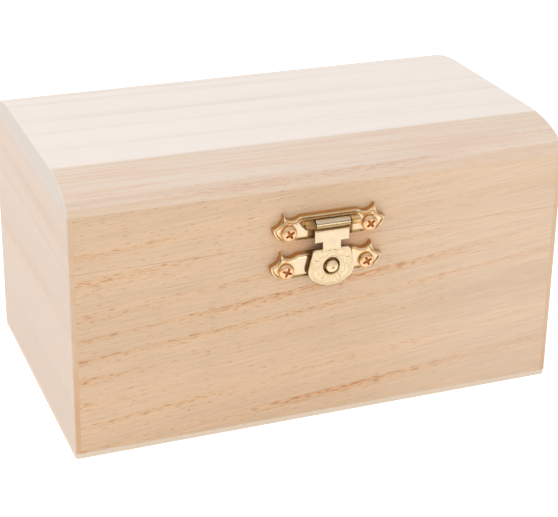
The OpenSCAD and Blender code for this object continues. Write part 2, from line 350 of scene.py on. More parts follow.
def carried(outline, x0, x1, ease, steps=5):
    """Bar along x: the anticlockwise outline (y, z) is carried from x0 to x1. Near both ends it is
    drawn in along its normals by ease (1 - cos k) while x is ease (1 - sin k) from the end."""
    outline = np.array(outline, float)
    step = np.roll(outline, -1, 0) - np.roll(outline, 1, 0)
    outward = np.stack([step[:, 1], -step[:, 0]], 1) / np.linalg.norm(step, axis=1)[:, None]
    k = np.radians(np.linspace(90, 0, steps + 1))
    run, inset = ease * (1 - np.sin(k)), ease * (1 - np.cos(k))
    xs, insets = np.concatenate([x0 + run, (x1 - run)[::-1]]), np.concatenate([inset, inset[::-1]])
    corners = np.concatenate([
        np.column_stack([np.full(len(outline), x), outline - outward * i]) for x, i in zip(xs, insets)
    ])
    ids = np.arange(len(xs) * len(outline)).reshape(len(xs), -1)
    nxt = np.roll(ids, -1, 1)
    faces = np.stack([ids[:-1], nxt[:-1], nxt[1:], ids[1:]], -1).reshape(-1, 4).tolist()
    return corners, faces + [ids[0][::-1].tolist(), ids[-1].tolist()]


def local_to_row(corners, x, y, z):
    """From a local frame with x right, y up and z outward from the front, in millimetres, to the
    row frame, in metres, at the point (x, y, z)."""
    corners = np.asarray(corners, float) * MM
    return np.stack([x + corners[:, 0], y - corners[:, 2], z + corners[:, 1]], 1)


def eased_copy(node, ease, joint=None, drop=0.0, segments=3):
    """Copy of a CAD node with its corners joined, its flat faces made whole and its edges eased.
    With joint given, only edges on the outside of the whole box are eased by ease and the others
    by joint; the lowest corners go down by drop. The copy stands for the node and rides on its
    body."""
    source = frame["nodes"][node]
    mesh = source.data.copy()
    mesh.materials.clear()
    work = bmesh.new()
    work.from_mesh(mesh)
    bmesh.ops.remove_doubles(work, verts=work.verts, dist=1e-6)
    bmesh.ops.dissolve_limit(
        work, angle_limit=math.radians(0.5), verts=work.verts, edges=work.edges, delimit={"NORMAL"}
    )
    floor = min(corner.co.z for corner in work.verts)
    for corner in work.verts:
        if corner.co.z < floor + 0.01 * MM:
            corner.co.z -= drop
    weight = work.edges.layers.float.new("bevel_weight_edge")
    low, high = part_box("box_left_end"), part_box("box_right_end")
    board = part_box("lid_top_board")
    sides = ((0, low[0].x), (0, high[1].x), (1, low[0].y), (1, low[1].y), (2, board[1].z))
    close = 0.02 * MM
    for edge in work.edges:
        if edge.calc_face_angle(0) < SHARP_EDGE:
            continue
        middle = (edge.verts[0].co + edge.verts[1].co) / 2
        outer = sum(abs(middle[axis] - value) < close for axis, value in sides) > 1
        if node == "lid_top_board":
            outer = abs(abs(middle.x) - high[1].x) < close and middle.z > board[0].z + close
        edge[weight] = 1.0 if joint is None or outer else joint / ease
    work.to_mesh(mesh)
    work.free()
    mesh.shade_smooth()
    mesh.set_sharp_from_angle(angle=SHARP_EDGE)
    made = bpy.data.objects.new("eased_" + node, mesh)
    bpy.context.scene.collection.objects.link(made)
    edge = made.modifiers.new("Eased edges", "BEVEL")
    edge.width = ease
    edge.segments = segments
    edge.limit_method = "WEIGHT"
    edge.harden_normals = True
    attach(made, source["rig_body"])
    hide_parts(node)
    return made


# ---- materials ------------------------------------------------------------------------


def add(tree, kind, inputs=(), **settings):
    """Adds a shader node. Settings are its properties. Inputs go in by socket name or, as a list,
    into the sockets in use, in order. Each is a value, a socket, or a node, which stands for its
    first output in use."""
    made = tree.nodes.new("ShaderNode" + kind)
    for key, value in settings.items():
        setattr(made, key, value)
    used = [socket for socket in made.inputs if socket.enabled]
    for key, value in inputs.items() if isinstance(inputs, dict) else enumerate(inputs):
        socket = made.inputs[key] if isinstance(key, str) else used[key]
        if isinstance(value, bpy.types.Node):
            value = next(out for out in value.outputs if out.enabled)
        if isinstance(value, bpy.types.NodeSocket):
            tree.links.new(value, socket)
        elif socket.type == "RGBA":
            socket.default_value = (*value[:3], 1.0)
        else:
            socket.default_value = value
    return made


def new_tree(block):
    """Empty node tree of a material or a world."""
    block.use_nodes = True
    block.node_tree.nodes.clear()
    return block.node_tree


# Settings shared by many nodes: a colour mix, a map with soft ends, and a product, alone or with a
# third value added to it
BLEND = {"data_type": "RGBA"}
SOFT = {"interpolation_type": "SMOOTHSTEP"}
TIMES = {"operation": "MULTIPLY"}
TIMES_PLUS = {"operation": "MULTIPLY_ADD"}
TIMES_PLUS_CLAMPED = {"operation": "MULTIPLY_ADD", "use_clamp": True}


def paulownia(name, body, across="X", tilt=4.0, pith=(0.1, 0.08), ring=3.4 * MM, rings=0.35, pores=0.6,
              moulded=None, sheen_colour=None, end=None, streaks=0.0, contrast=1.0, rubbed=0.0):
    """Sanded, bare paulownia: pale and silky, with rows of short open pores in the early wood of
    each growth ring and hardly any shine. The pattern fills the board, so pores turn to dots and
    rings to arcs on the end grain, which also drinks in more light."""
    wood = bpy.context.scene.money_box_wood
    made = bpy.data.materials.new(name)
    tree = new_tree(made)
    place = add(tree, "TexCoord")
    spot = place.outputs["Object"]
    split = add(tree, "SeparateXYZ", [spot])
    normal = add(tree, "SeparateXYZ", [place.outputs["Normal"]])
    # x of the grain frame runs along the fibres
    turn = (0.0, math.radians(tilt), 0.0 if across == "X" else math.radians(-90))
    grain = add(tree, "Mapping", {"Vector": spot, "Rotation": turn})
    centred = add(tree, "Mapping", {"Vector": grain, "Location": (0.3, *pith), "Scale": (0.05, 1.0, 1.0)})

    # Growth rings round the pith: the saw wave climbs through one ring and drops at its end
    saw = add(tree, "TexWave", {
        "Vector": centred, "Scale": 2 * math.pi / 20 / ring,
        "Distortion": 7.0, "Detail": 2.0, "Detail Scale": 0.7, "Detail Roughness": 0.55,
    }, wave_type="RINGS", rings_direction="X", wave_profile="SAW").outputs["Fac"]
    early = add(tree, "MapRange", [saw, 0.0, 0.55, 1.0, 0.0], **SOFT)

    # Drifts: where the early wood is richer and warmer
    drift = add(tree, "TexNoise", {"Vector": centred, "Scale": 210.0, "Detail": 2.0})
    gathered = add(tree, "MapRange", [drift, 0.4, 0.7, 0.0, 1.0], **SOFT)
    rich = add(tree, "Math", [early, gathered], **TIMES)

    # Pores: noise drawn out along the grain and cut off; the cut is lower where the wood is rich
    scale = (1 / wood.pore_length, 1 / wood.pore_width, 1 / wood.pore_width)
    streak = add(tree, "Mapping", {"Vector": grain, "Scale": scale})
    dashes = add(tree, "TexNoise", {"Vector": streak, "Scale": 0.8, "Detail": 2.0, "Roughness": 0.6})
    lifted = add(tree, "Math", [rich, 0.17, dashes], **TIMES_PLUS)
    pore = add(tree, "MapRange", [lifted, 0.575, 0.78, 0.0, 1.0], **SOFT)

    # Fibre: very fine lines along the grain, drawn 0.5 mm broad so that they show
    drawn_out = add(tree, "Mapping", {"Vector": grain, "Scale": (70.0, 2100.0, 2100.0)})
    fibre = add(tree, "TexNoise", {"Vector": drawn_out, "Scale": 1.0, "Detail": 2.0, "Roughness": 0.65})
    # Broad tone: slow bands a few millimetres wide
    tone = add(tree, "TexNoise", {"Vector": centred, "Scale": 85.0, "Detail": 2.0})

    base, strength = body, pores
    if moulded is not None:
        # Painted light: the flat is drawn paler, as lit from above, and the moulded edge in a shaded colour;
        # the moulded edge keeps the pores
        low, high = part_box("lid_top_board")
        front, back, joint = low.y + wood.rounding, high.y, low.z
        near = add(tree, "MapRange", [split.outputs["Y"], front, front - 1.6 * MM, 0.0, 1.0])
        far = add(tree, "MapRange", [split.outputs["Y"], back - 9 * MM, back, 0.0, 0.6])
        edge = add(tree, "Math", [near, far], operation="MAXIMUM")
        side = add(tree, "MapRange", [normal.outputs["X"], -0.8, -0.4, 0.15, 1.0])
        fade = add(tree, "Math", [edge, side], **TIMES)
        base = add(tree, "Mix", [fade, base, moulded], **BLEND)
        # Painted shade: the moulded edge deepens to the colour of the front toward the joint, as it turns
        # away from the light
        shade_toward_joint = add(tree, "MapRange", [split.outputs["Z"], joint, joint + 3.5 * MM, 0.6, 0.0])
        base = add(tree, "Mix", [shade_toward_joint, base, wood.front], **BLEND)
        # Lines scored by the cutter, drawn 1 mm broad so that they show
        cutter = add(tree, "Mapping", {"Vector": grain, "Scale": (14.0, 1050.0, 1050.0)})
        scored = add(tree, "TexNoise", {"Vector": cutter, "Scale": 1.0, "Detail": 1.0})
        lined = add(tree, "MapRange", [scored, 0.38, 0.62, 0.0, 0.24])
        marked = add(tree, "Math", [lined, fade], **TIMES)
        base = add(tree, "Mix", [marked, base, wood.late], **BLEND)
        strength = add(tree, "MapRange", [fade, 0.1, 0.5, pores * 0.25, pores])
    if sheen_colour is not None:
        # Painted sheen: toward the right the board is drawn paler, with calmer pores and rings, for the white
        # sheen that the bright surround lays on it there
        sheen_mask = add(tree, "MapRange", [split.outputs["X"], 5 * MM, 45 * MM, 0.0, 1.0])
        base = add(tree, "Mix", [sheen_mask, base, sheen_colour], **BLEND)
        under_sheen = add(tree, "Math", [sheen_mask, -0.7, 1.0], **TIMES_PLUS)
        strength = add(tree, "Math", [under_sheen, pores], **TIMES)
        rings = add(tree, "Math", [under_sheen, rings], **TIMES)
    if end is not None:
        # End grain, told by how squarely the surface cuts the fibres; it has drunk more near the floor
        dry, wet = end
        cut = add(tree, "Math", [normal.outputs[across]], operation="ABSOLUTE")
        on_end = add(tree, "MapRange", [cut, 0.75, 0.95, 0.0, 1.0])
        blotch = add(tree, "TexNoise", {"Vector": spot, "Scale": 110.0, "Detail": 3.0})
        slope = add(tree, "Math", [split.outputs["X"], 0.15, split.outputs["Z"]], **TIMES_PLUS)
        damp = add(tree, "MapRange", [slope, 5 * MM, 24 * MM, 0.1, -0.85])
        depth = add(tree, "Math", [blotch, 1.4, damp], **TIMES_PLUS_CLAMPED)
        soaked = add(tree, "Mix", [depth, dry, wet], **BLEND)
        base = add(tree, "Mix", [on_end, base, soaked], **BLEND)
    if rubbed:
        # Painted shade and reflected light: an oval of the wood round the tongue is drawn warmer and darker,
        # for the shade of the hasp and the gold it throws on the wood
        low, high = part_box("keeper_plate")[0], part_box("hasp_plate")[1]
        centre = ((low.x + high.x) / 2, 0.0, (low.z + high.z) / 2)
        reach = ((high.x - low.x) / 2, 1.0, (high.z - low.z) / 2)
        from_centre = add(tree, "VectorMath", [spot, centre], operation="SUBTRACT")
        oval = add(tree, "VectorMath", [from_centre, reach], operation="DIVIDE")
        away = add(tree, "VectorMath", [oval], operation="LENGTH")
        hasp_shade = add(tree, "MapRange", [away, 0.5, 1.25, rubbed, 0.0], **SOFT)
        base = add(tree, "Mix", [hasp_shade, base, wood.late], **BLEND)

    warm = add(tree, "Math", [rich, rings], **TIMES)
    toned = add(tree, "Mix", [warm, base, wood.late], **BLEND)
    if streaks:
        # A few grey mineral lines
        band = add(tree, "MapRange", [saw, 0.86, 0.98, 0.0, streaks], **SOFT)
        toned = add(tree, "Mix", [band, toned, wood.mineral], **BLEND)
    spread = add(tree, "MapRange", [tone, 0.3, 0.7, 1 - 0.03 * contrast, 1 + 0.03 * contrast])
    lines = add(tree, "MapRange", [fibre, 0.25, 0.75, 1 - 0.055 * contrast, 1 + 0.045 * contrast])
    shade = add(tree, "Math", [spread, lines], **TIMES)
    shaded = add(tree, "VectorMath", [toned, shade], operation="SCALE")
    weight = add(tree, "Math", [pore, strength], **TIMES)
    relief = add(tree, "Math", [pore, -0.5, fibre], **TIMES_PLUS)
    surface = add(tree, "BsdfPrincipled", {
        "Base Color": add(tree, "Mix", [weight, shaded, wood.pore], **BLEND),
        "Roughness": add(tree, "MapRange", [fibre, 0.3, 0.7, 0.52, 0.68]),
        "Normal": add(tree, "Bump", {"Height": relief, "Distance": 0.06 * MM, "Strength": 0.6}),
        "IOR": 1.5, "Specular IOR Level": 0.25, "Sheen Weight": 0.08, "Sheen Roughness": 0.5,
    })
    add(tree, "OutputMaterial", {"Surface": surface})
    return made


def polished_plating(name, body, roughness=0.13, warm=None, dull=None, lacquer=0.55):
    """Polished, plated steel: a mirror-like pale gold with fine polishing lines and a soft waviness left by
    stamping. Where the mesh attribute read below is high, the metal is drawn darker and duller under a brown
    film that is no metal, so it stays brown where a mirror would turn black: in part lacquer left in the
    recesses, in part painted shade and painted reflection."""
    metal = bpy.context.scene.money_box_metal
    made = bpy.data.materials.new(name)
    tree = new_tree(made)
    spot = add(tree, "TexCoord").outputs["Object"]
    # Polishing lines 0.25 mm broad, broader than real ones so that they show
    polished = add(tree, "Mapping", {
        "Vector": spot, "Rotation": (0.0, math.radians(25), 0.0), "Scale": (300.0, 4000.0, 4000.0),
    })
    lines = add(tree, "TexNoise", {"Vector": polished, "Scale": 1.0, "Detail": 2.0})
    wave = add(tree, "TexNoise", {"Vector": spot, "Scale": 420.0, "Detail": 1.0})
    stain = add(tree, "MapRange", [wave, 0.35, 0.75, 0.0, 0.1])
    hollow_and_shade = add(tree, "Attribute", attribute_name="hollow_and_shade", attribute_type="GEOMETRY").outputs["Fac"]
    # Recesses and painted shade go from the body colour through a warm gold to dark lacquer brown
    tinted = add(tree, "Mix", [stain, body, metal.recess], **BLEND)
    first = add(tree, "Math", [hollow_and_shade, 2.0], operation="MULTIPLY", use_clamp=True)
    second = add(tree, "Math", [hollow_and_shade, 2.0, -1.0], **TIMES_PLUS_CLAMPED)
    warmed = add(tree, "Mix", [first, tinted, warm or metal.warm], **BLEND)
    brushed = add(tree, "MapRange", [lines, 0.3, 0.7, roughness * 0.7, roughness * 1.5])
    height = add(tree, "Math", [lines, 0.15, wave], **TIMES_PLUS)
    surface = add(tree, "BsdfPrincipled", {
        "Base Color": add(tree, "Mix", [second, warmed, dull or metal.recess], **BLEND),
        "Metallic": add(tree, "MapRange", [hollow_and_shade, 0.4, 1.0, 1.0, 1.0 - lacquer]),
        "Roughness": add(tree, "Math", [hollow_and_shade, 0.35, brushed], **TIMES_PLUS),
        "Normal": add(tree, "Bump", {"Height": height, "Distance": 0.02 * MM, "Strength": 0.5}),
    })
    add(tree, "OutputMaterial", {"Surface": surface})
    return made


def backlit_table(name):
    """Matt white acrylic lit from below, as under product shots: plain and pale, with almost no
    shadow and a barely visible mottle."""
    stage = bpy.context.scene.money_box_stage
    made = bpy.data.materials.new(name)
    tree = new_tree(made)
    spot = add(tree, "TexCoord").outputs["Object"]
    mottle = add(tree, "TexNoise", {"Vector": spot, "Scale": 6.0, "Detail": 3.0})
    shade = add(tree, "MapRange", [mottle, 0.3, 0.7, 0.985, 1.0])
    surface = add(tree, "BsdfPrincipled", {
        "Base Color": add(tree, "VectorMath", [tuple(stage.floor), shade], operation="SCALE"),
        "Roughness": 0.9, "Specular IOR Level": 0.1, "Emission Color": WHITE, "Emission Strength": stage.glow,
    })
    add(tree, "OutputMaterial", {"Surface": surface})
    return made


# ---- outlines of the hasp, in millimetres ---------------------------------------------

POINT_RISE = 0.9  # of the upright points above a plate's top edge
HEAD_RADIUS = 2.2  # of the hasp's screws


def plate_outline(width, height):
    """Stamped plate: an ogee top edge, upright points, scalloped shoulders and side points."""
    w = width / 2
    ogee_mid, ogee_low = (w - 7, height - 0.4), (w - 5.7, height - 0.8)
    upper_point, side_point = (w - 3, height + POINT_RISE), (w, height - 2.8)
    return both_halves(
        bow((w - 8.3, height), ogee_mid, 0.12, 4),
        bow(ogee_mid, ogee_low, -0.12, 4),
        ogee_low,
        bow((w - 5.2, height - 0.8), upper_point, -0.35),
        bow(upper_point, side_point, -0.9, 12),
        bow(side_point, (w - 3.7, 0), 1.1),
        (w - 3.7, 0),
    )


def tongue_outline(width, top):
    """Tongue: a wide top, a narrow neck and a shield with a round bottom."""
    neck, neck_top, neck_low = 2.6, 0.7, -1.2
    bottom, bottom_radius, corner_radius = (0, -3.5), 8.4, 3.2
    angle = math.radians(-50)
    reach = bottom_radius - corner_radius
    corner = (reach * math.cos(angle), bottom[1] + reach * math.sin(angle))
    return both_halves(
        (width / 2, top), (width / 2, neck_top), (neck, neck_top), (neck, neck_low), (4.7, neck_low),
        (5.3, neck_low - 0.5),
        arc(corner, corner_radius, 8, -46),
        arc(bottom, bottom_radius, -50, -90),
    )


def spiral(centre, radius, start, turns, steps=30):
    """Points centre + r (cos a, sin a), where a goes round from start by turns and r shrinks evenly
    from radius to a fifth of it."""
    t = np.linspace(0, 1, steps)
    a = math.radians(start) + 2 * math.pi * turns * t
    r = radius * (1 - 0.8 * t)
    return np.array(centre, float) + np.stack([r * np.cos(a), r * np.sin(a)], 1)


def scrolls(stud_y):
    """Lines of the relief on the shield: scrolls at the sides and shoulders and a fan below the
    hole. Each line is given once, on the right, and mirrored."""
    right = [
        spiral((4.35, stud_y + 0.9), 1.25, -100, 1.3),
        np.vstack([bow((2.2, stud_y - 3.7), (4.1, stud_y - 0.35), -0.9, 12), [(4.1, stud_y - 0.35)]]),
        spiral((2.9, stud_y + 3.4), 0.95, 200, -1.2),
        np.vstack([bow((0.35, stud_y + 4.4), (2.0, stud_y + 3.1), 0.3, 8), [(2.0, stud_y + 3.1)]]),
        np.vstack([bow((4.9, stud_y - 1.3), (3.2, stud_y - 3.6), 0.35, 8), [(3.2, stud_y - 3.6)]]),
    ]
    for angle in (-64, -42):
        way = np.array([math.cos(math.radians(angle)), math.sin(math.radians(angle))])
        right.append(np.array([(0, stud_y)]) + np.outer([3.0, 4.3], way))
    lines = right + [line * [-1, 1] for line in right]
    lines.append(np.array([(0, stud_y - 2.95), (0, stud_y - 4.4)]))
    return lines


# ---- operators ------------------------------------------------------------------------


class MONEYBOX_OT_stage(bpy.types.Operator):
    """Pale floor, white surround, overhead light and camera"""

    bl_idname = "moneybox.stage"
    bl_label = "Stage"

    def execute(self, context):
        scene = context.scene
        stage = scene.money_box_stage
        scene.view_settings.view_transform = "Standard"

        size = 3.0
        corners = [(-size, -size, 0), (size, -size, 0), (size, size, 0), (-size, size, 0)]
        floor = make_object("floor", corners, [(0, 1, 2, 3)])
        floor.data.materials.append(backlit_table("backlit_acrylic"))

        # White surround. Mirrors see a dim, warm room above the table and white only overhead.
        world = bpy.data.worlds.new("white_surround")
        scene.world = world
        tree = new_tree(world)
        way = add(tree, "SeparateXYZ", [add(tree, "TexCoord").outputs["Generated"]])
        up = add(tree, "MapRange", [way.outputs["Z"], 0.24, 0.42, 0.0, 1.0], **SOFT)
        room = add(tree, "Mix", [up, stage.room, WHITE], **BLEND)
        path = add(tree, "LightPath").outputs
        mirrored = add(tree, "Math", [path["Is Glossy Ray"], path["Diffuse Depth"]],
                       operation="SUBTRACT", use_clamp=True)
        surround = add(tree, "Background", {
            "Color": add(tree, "Mix", [mirrored, WHITE, room], **BLEND),
            "Strength": add(tree, "MapRange", [path["Is Camera Ray"], 0.0, 1.0, stage.daylight, 1.05]),
        })
        add(tree, "OutputWorld", {"Surface": surround})

        # An overhead softbox and a low strip in front
        for name, where, aim, size, watts in (
            ("overhead", (-0.3, 0.2, 0.9), (0, 0, 0.03), (0.9, 0.7), stage.key),
            ("low_fill", (0.1, -0.6, 0.05), (0.0, -0.04, 0.06), (0.5, 0.08), stage.fill),
        ):
            lamp = bpy.data.lights.new(name, "AREA")
            lamp.shape = "RECTANGLE"
            lamp.size, lamp.size_y = size
            lamp.energy = watts
            holder = bpy.data.objects.new(name, lamp)
            holder.location = where
            holder.rotation_euler = (Vector(aim) - holder.location).to_track_quat("-Z", "Y").to_euler()
            scene.collection.objects.link(holder)

        lens = bpy.data.cameras.new("camera")
        lens.lens = stage.focal
        lens.sensor_width = 36.0
        lens.shift_y = -0.08
        lens.clip_start, lens.clip_end = 0.01, 20.0
        camera = bpy.data.objects.new("camera", lens)
        camera.location = (-0.15393, -0.39653, 0.22253)
        camera.rotation_euler = tuple(math.radians(a) for a in (67.155, -0.854, -21.221))
        scene.collection.objects.link(camera)
        scene.camera = camera
        return {"FINISHED"}


class MONEYBOX_OT_boards(bpy.types.Operator):
    """Boards of the box and the lid, with eased edges and bare wood"""

    bl_idname = "moneybox.boards"
    bl_label = "Boards"

    def execute(self, context):
        wood = context.scene.money_box_wood
        finishes = {
            # The top board is given painted light on its flat and painted shade on its moulded edge
            "wood_top": paulownia("sanded_paulownia_top", wood.top, moulded=wood.moulded, tilt=1.0,
                                  pith=(0.05, -0.16), ring=6 * MM, rings=0.14, pores=0.26, streaks=0.1,
                                  contrast=0.4, end=(wood.top_end, wood.end)),
            # The front board is given painted sheen toward the right and painted shade round the hasp
            "wood_front": paulownia("sanded_paulownia_front", wood.front, tilt=5.0, pith=(0.13, -0.13),
                                    ring=5.2 * MM, rings=0.5, pores=0.9, sheen_colour=wood.front_sheen,
                                    contrast=1.8, rubbed=0.45),
            "wood_end": paulownia("sanded_paulownia_end", wood.end, across="Y", tilt=0.0, pith=(0.12, -0.1),
                                  ring=5 * MM, rings=0.13, pores=0.2, streaks=0.16, contrast=0.9,
                                  end=(wood.front, wood.soaked)),
            "wood_base": paulownia("sanded_paulownia_base", wood.base, tilt=0.5, pith=(0.0, 0.08),
                                   rings=0.1, pores=0.3, contrast=0.5),
        }
        for row in frame["record"]["subparts"]:
            node, slot = row["node"], row["material_slot"]
            if slot in finishes:
                # Unpainted boards sit closer on each other than the clearance of the model
                rail = node.startswith("lid_") and node != "lid_top_board"
                drop = 0.11 * MM if rail else 0.0
                board = eased_copy(node, wood.ease, joint=wood.joint, drop=drop)
                board.data.materials.append(finishes[slot])
        return {"FINISHED"}


def joined(parts):
    """Corners, faces and the values for recesses and painted shade of several shells as one set."""
    corners, faces, hollow_and_shade, first = [], [], [], 0
    for part_corners, part_faces, part_hollow_and_shade in parts:
        corners.append(part_corners)
        faces += [[i + first for i in f] for f in part_faces]
        hollow_and_shade.append(np.broadcast_to(part_hollow_and_shade, len(part_corners)))
        first += len(part_corners)
    return np.vstack(corners), faces, np.concatenate(hollow_and_shade)


def finished(node, material, shells, place, sharp_angle=35.0):
    """One object from the shells, placed and coloured, that stands for the node."""
    corners, faces, hollow_and_shade = joined(shells)
    made = make_object("finished_" + node, place(corners), faces, sharp_angle)
    paint = made.data.attributes.new("hollow_and_shade", "FLOAT", "POINT")
    paint.data.foreach_set("value", hollow_and_shade.astype(np.float32))
    made.data.materials.append(material)
    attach(made, frame["nodes"][node]["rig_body"])
    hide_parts(node)
    return made


def front_and_seam():
    """Y of the front of the box and Z of the seam between the box and the lid."""
    low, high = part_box("box_front_panel")
    return low.y, high.z


def front_frame(low, high):
    """Placing function of the local frame on the front, its origin on the seam, in the middle of the
    box from low to high."""
    return lambda corners: local_to_row(corners, (low.x + high.x) / 2, *front_and_seam())


class MONEYBOX_OT_plates(bpy.types.Operator):
    """Stamped plates of the hasp and the keeper, with beads, ridge and lugs"""

    bl_idname = "moneybox.plates"
    bl_label = "Stamped plates"

    def execute(self, context):
        metal = context.scene.money_box_metal
        gold = polished_plating("polished_gold_plating_plates", metal.gold)
        front, seam = front_and_seam()
        sheet, bead = metal.sheet / MM, metal.bead / MM
        for node, screws in (("hasp_plate", "hasp_screws"), ("keeper_plate", "keeper_screws")):
            low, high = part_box(node)
            width, height = (high.x - low.x) / MM, (high.z - low.z) / MM - POINT_RISE
            screw_low, screw_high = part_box(screws)
            screw_y = ((screw_low.z + screw_high.z) / 2 - low.z) / MM
            screw_x = (screw_high.x - screw_low.x) / MM / 2 - HEAD_RADIUS
            holes = [(-screw_x, screw_y, 1.05), (screw_x, screw_y, 1.05)]
            ridged = node == "hasp_plate"

            def surface(px, py, d):
                wall = np.sqrt(1 - (1 - np.clip(d / 0.42, 0, 1)) ** 2)
                z = sheet + bead - 0.6 * (1 - wall)
                z = z - smoothstep(0.42, 0.78, d) * (bead + 0.1) + 0.12 * smoothstep(0.78, 1.5, d)
                if ridged:
                    z += 0.38 * bump(d, 1.12, 0.22) * smoothstep(4.0, 4.8, py)
                near = np.hypot(np.abs(px) - screw_x, py - screw_y)
                return z + (sheet - z) * (1 - smoothstep(1.9, 2.4, near))

            corners, faces, d = stamped_sheet(plate_outline(width, height), holes, 0.28, surface, 0.0)
            from_x, from_y = np.abs(corners[:, 0]) - screw_x, corners[:, 1] - screw_y
            near = np.hypot(from_x, from_y)
            # Lacquer in the valley inside the bead, drawn dark enough to stand in also for painted shade and
            # dark reflections there
            hollow_and_shade = 0.85 * bump(d, 0.74, 0.13) * smoothstep(2.3, 2.6, near)
            # Painted shade and reflection: a dark crescent on the plate on one side of each screw, where the
            # head shades the plate and is mirrored in it
            side = (0.75 * from_y - 0.65 * from_x * np.sign(corners[:, 0])) / np.maximum(near, 0.1)
            gathered = 0.12 + 0.6 * smoothstep(0.1, 0.9, side)
            hollow_and_shade = np.maximum(hollow_and_shade, gathered * bump(near, 2.4, 0.3))
            # Painted reflection: the rim is drawn warm gold all round, for the wood that its edge mirrors and
            # the shade along it
            hollow_and_shade = np.maximum(hollow_and_shade, 0.5 * (1 - smoothstep(0.03, 0.16, d)))
            # Painted shade: the plate under the tongue is drawn brown, where the tongue shades it and is
            # mirrored in it
            tongue_low, tongue_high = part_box("hasp_tongue")
            aside = np.abs(corners[:, 0] - (tongue_low.x + tongue_high.x - low.x - high.x) / 2 / MM)
            half_width = (tongue_high.x - tongue_low.x) / 2 / MM
            shade_under_tongue = 1 - smoothstep(half_width - 0.4, half_width + 0.3, aside)
            if ridged:
                shade_under_tongue = shade_under_tongue * (1 - smoothstep(3.2, 3.8, corners[:, 1]))
            hollow_and_shade = np.maximum(hollow_and_shade, 0.9 * shade_under_tongue)
            corners[:, 1] += (low.z - seam) / MM
            shells = [(corners, faces, hollow_and_shade)]
            if ridged:
                pin = sum(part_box("hasp_pin"), Vector()) / 2
                shift, axis_y = (pin.x - (low.x + high.x) / 2) / MM, (pin.z - seam) / MM
                axis_z, ear_in, ear_w, radius = (front - pin.y) / MM, 5.1, 2.7, 1.2
                foot = [(axis_y - radius, 0.3), (axis_y + radius, 0.3)]
                lug = np.vstack([foot, arc((axis_y, axis_z), radius, 0, 180, 14)])
                for x0 in (-ear_in - ear_w, ear_in):
                    bar, bar_faces = carried(lug, x0, x0 + ear_w, 0.4)
                    # Painted shade on the ears: darker next to the barrel and below the axis; the left ear is
                    # drawn darker than the right
                    shade_by_barrel = 1 - smoothstep(0.0, 1.3, np.abs(bar[:, 0]) - ear_in)
                    under = 1 - smoothstep(-0.5, 0.9, bar[:, 1] - axis_y)
                    ear_tone = 0.6 if x0 < 0 else 0.1
                    shade = np.clip(ear_tone + 0.5 * shade_by_barrel + 0.3 * under, 0, 0.9)
                    shells.append((bar + [shift, 0, 0], bar_faces, shade))
            finished(node, gold, shells, front_frame(low, high))
        return {"FINISHED"}


class MONEYBOX_OT_tongue(bpy.types.Operator):
    """Tongue of the hasp: rolled barrel, bead and scroll relief on the shield"""

    bl_idname = "moneybox.tongue"
    bl_label = "Tongue"

    def execute(self, context):
        metal = context.scene.money_box_metal
        front, seam = front_and_seam()
        low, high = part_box("hasp_tongue")
        stud_low, stud_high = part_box("keeper_stud")
        stud_y = ((stud_low.z + stud_high.z) / 2 - seam) / MM
        pin = sum(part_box("hasp_pin"), Vector()) / 2
        axis_y, axis_z = (pin.z - seam) / MM, (front - pin.y) / MM
        width, hole, thickness = 9.8, 2.3, 0.6
        back, face = axis_z - thickness / 2, axis_z + thickness / 2
        slit_y = axis_y - 1.42
        lines = scrolls(stud_y)
        relief = metal.relief / MM

        def marks(px, py):
            """Distance to the nearest line of the relief, and 1 on the shield."""
            points = np.stack([px, py], 1)
            near = np.min([distance_to_line(points, line) for line in lines], 0)
            return near, 1 - smoothstep(-1.8, -1.0, py)

        def surface(px, py, d):
            near, shield = marks(px, py)
            z = face - 0.16 * (1 - np.clip(d / 0.16, 0, 1)) ** 2
            z = z + shield * 0.12 * bump(d, 0.36, 0.22)
            z = z + relief * bump(near, 0, 0.26) * shield * smoothstep(0.5, 0.9, d)
            # Fold under the barrel: a thin ridge, then the slit of the roll
            z = z + 0.24 * bump(py, axis_y - 1.95, 0.2) * smoothstep(0.05, 0.3, d)
            return z - 0.45 * bump(py, slit_y, 0.2)

        outline = tongue_outline(width, axis_y - 0.5)
        corners, faces, d = stamped_sheet(outline, [(0, stud_y, hole)], 0.17, surface, back)
        near, shield = marks(corners[:, 0], corners[:, 1])
        # Painted shade beside the scroll lines and in the valley inside the bead, with a little lacquer
        hollow_and_shade = shield * np.maximum(0.28 * bump(near, 0.45, 0.17), 0.22 * bump(d, 0.72, 0.15))
        # Painted shade: the slit of the roll is drawn dark
        hollow_and_shade = np.maximum(hollow_and_shade, 0.95 * bump(corners[:, 1], slit_y, 0.24))
        # Painted shade and reflection: the wall of the hole is drawn dull olive gold, and the back brown, so
        # the gap under the tongue shows brown, not black
        from_stud = np.hypot(corners[:, 0], corners[:, 1] - stud_y)
        hollow_and_shade = np.maximum(hollow_and_shade, 0.4 * bump(from_stud, hole, 0.1))
        half = len(hollow_and_shade) // 2
        hollow_and_shade[half:] = 0.6 + 0.35 * bump(d[half:], 0, 0.3)
        roll, roll_faces = tube(1.2, 0.55, -width / 2, width / 2, 0.2)
        # Painted shade on the roll: darker along its slit and on its underside
        slit_shade = bump(roll[:, 1], -0.28, 0.22) * (roll[:, 2] > 0)
        below = np.maximum(1 - smoothstep(-1.15, -0.8, roll[:, 1]), slit_shade)
        shells = [(corners, faces, hollow_and_shade), (roll + [0, axis_y, axis_z], roll_faces, below)]
        gold = polished_plating("polished_gold_plating_tongue", metal.gold, 0.17, warm=metal.olive)
        finished("hasp_tongue", gold, shells, front_frame(low, high))
        return {"FINISHED"}


